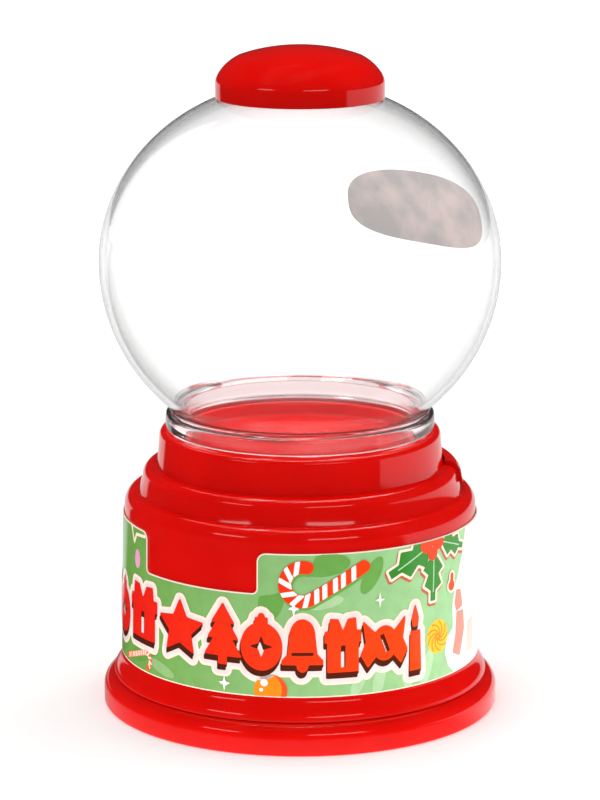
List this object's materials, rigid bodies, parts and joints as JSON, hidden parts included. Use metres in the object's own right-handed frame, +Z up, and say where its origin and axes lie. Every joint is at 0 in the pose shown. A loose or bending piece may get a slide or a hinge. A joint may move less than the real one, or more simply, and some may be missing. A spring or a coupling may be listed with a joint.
{
  "type": "gumball machine",
  "caption": "Small red sweet dispenser: clear globe on a stepped round base, with a knob-turned rotor, an outlet flap, a coin slot and a printed wrap label.",
  "frame": {"origin": "centre of the foot ring on the floor", "axes": "+Z up along the globe's axis, -Y towards the front, where the knob and the outlet are"},
  "size_m": [0.0832, 0.0832, 0.1376],
  "materials": {
    "red_plastic": "glossy moulded red plastic",
    "white_plastic": "glossy moulded white plastic",
    "natural_nylon": "natural satin moulded plastic",
    "clear_plastic": "clear polished moulded plastic",
    "printed_film": "glossy printed film",
    "sticker_film": "thin pale blank film",
    "soft_plug": "soft dark stopper",
    "steel": "zinc-plated steel"
  },
  "bodies": {
    "machine": {"bottom_plate": "red_plastic", "housing": "red_plastic", "coin_slot_bezel": "red_plastic", "hopper": "red_plastic", "front_plate": "white_plastic", "chute": "white_plastic", "rotor_cradle": "natural_nylon", "rotor_cover": "natural_nylon", "shaft_bush": "natural_nylon", "coin_guide": "natural_nylon", "globe": "clear_plastic", "label": "printed_film", "globe_sticker": "sticker_film", "front_plate_screw_1": "steel", "front_plate_screw_2": "steel", "front_plate_screw_3": "steel", "front_plate_screw_4": "steel", "base_screw_1": "steel", "base_screw_2": "steel", "base_screw_3": "steel", "base_screw_4": "steel", "cradle_screw_1": "steel", "cradle_screw_2": "steel", "rotor_cover_screw_1": "steel", "rotor_cover_screw_2": "steel", "chute_screw": "steel", "hopper_screw_1": "steel", "hopper_screw_2": "steel", "hopper_screw_3": "steel", "coin_guide_screw": "steel", "detent_screw": "steel", "flap_pin": "steel", "detent_spring": "steel", "thrust_washer": "steel"},
    "knob_drive": {"drive_shaft": "steel", "rotor": "natural_nylon", "knob": "red_plastic", "knob_screw": "steel", "shaft_clip": "steel"},
    "outlet_flap": {"outlet_flap": "white_plastic"},
    "cap": {"cap": "red_plastic"},
    "coin_plug": {"coin_plug": "soft_plug"}
  },
  "joints": [
    {"name": "knob_turn", "type": "hinge", "parent": "machine", "child": "knob_drive", "pos_m": [0, 0, 0.0365], "axis": [0, 1, 0], "continuous": true, "deforming": ["detent_spring"]},
    {"name": "flap_swing", "type": "hinge", "parent": "machine", "child": "outlet_flap", "pos_m": [0, -0.035, 0.0252], "axis": [-1, 0, 0], "range_deg": [0, 75]},
    {"name": "cap_lift", "type": "slide", "parent": "machine", "child": "cap", "axis": [0, 0, 1], "range_m": [0, 0.03]},
    {"name": "plug_pull", "type": "slide", "parent": "machine", "child": "coin_plug", "axis": [0, 0, -1], "range_m": [0, 0.012]}
  ]
}
